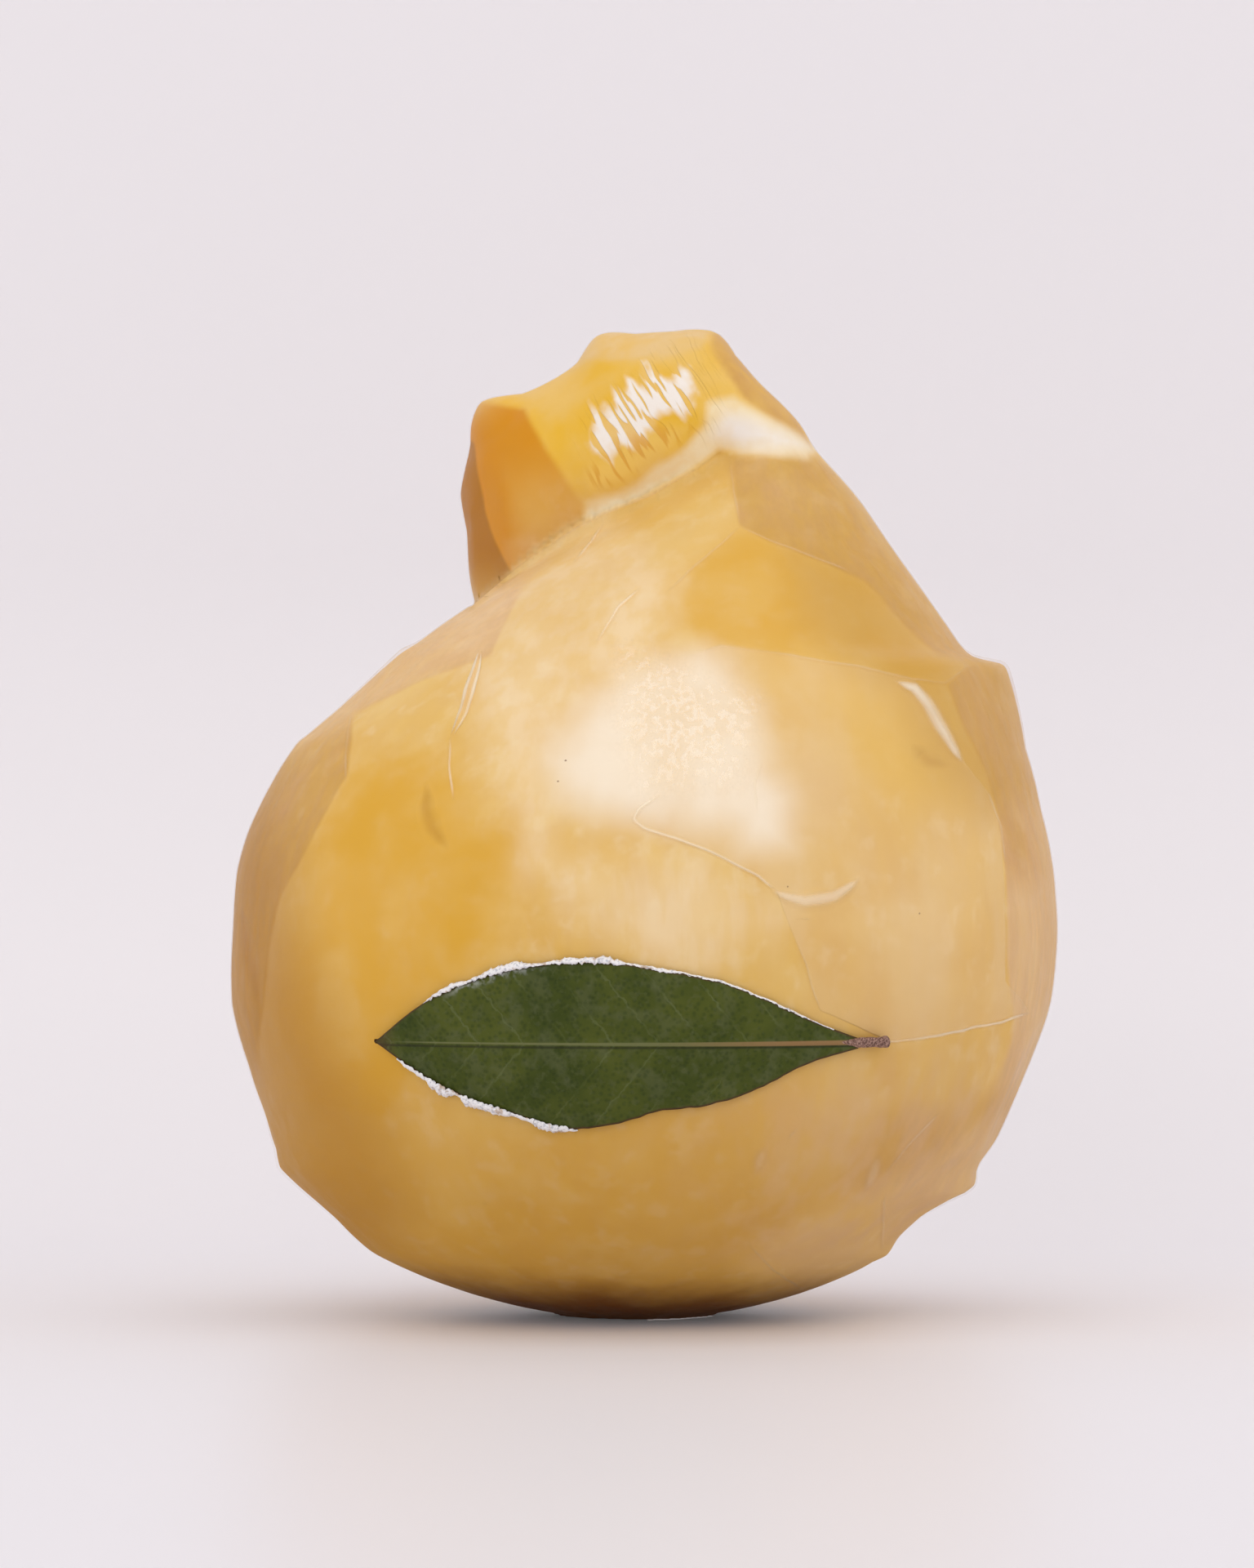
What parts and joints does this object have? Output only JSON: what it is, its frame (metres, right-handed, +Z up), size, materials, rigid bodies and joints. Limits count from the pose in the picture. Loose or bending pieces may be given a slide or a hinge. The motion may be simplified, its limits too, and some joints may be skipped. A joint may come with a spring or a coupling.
{
  "type": "smoked provola",
  "caption": "Round smoked provola cheese in skin-tight clear film, its narrow neck and blunt head folded over to one side, with a bay leaf lying across the front.",
  "frame": {"origin": "middle of the bounding box, on the surface that the cheese stands on", "axes": "+Z up; the side with the leaf faces -Y; the head is folded towards -X and +Y"},
  "size_m": [0.1222, 0.1134, 0.1455],
  "materials": {
    "smoked_skin": "smoked yellow cheese skin under tight clear film, satin gloss",
    "leaf": "dark green bay leaf, satin",
    "white_edge": "crumbly white edge, matt"
  },
  "bodies": {
    "root": {"provola": "smoked_skin", "bay_leaf": "leaf", "white_edge_upper": "white_edge", "white_edge_lower": "white_edge"}
  },
  "joints": []
}
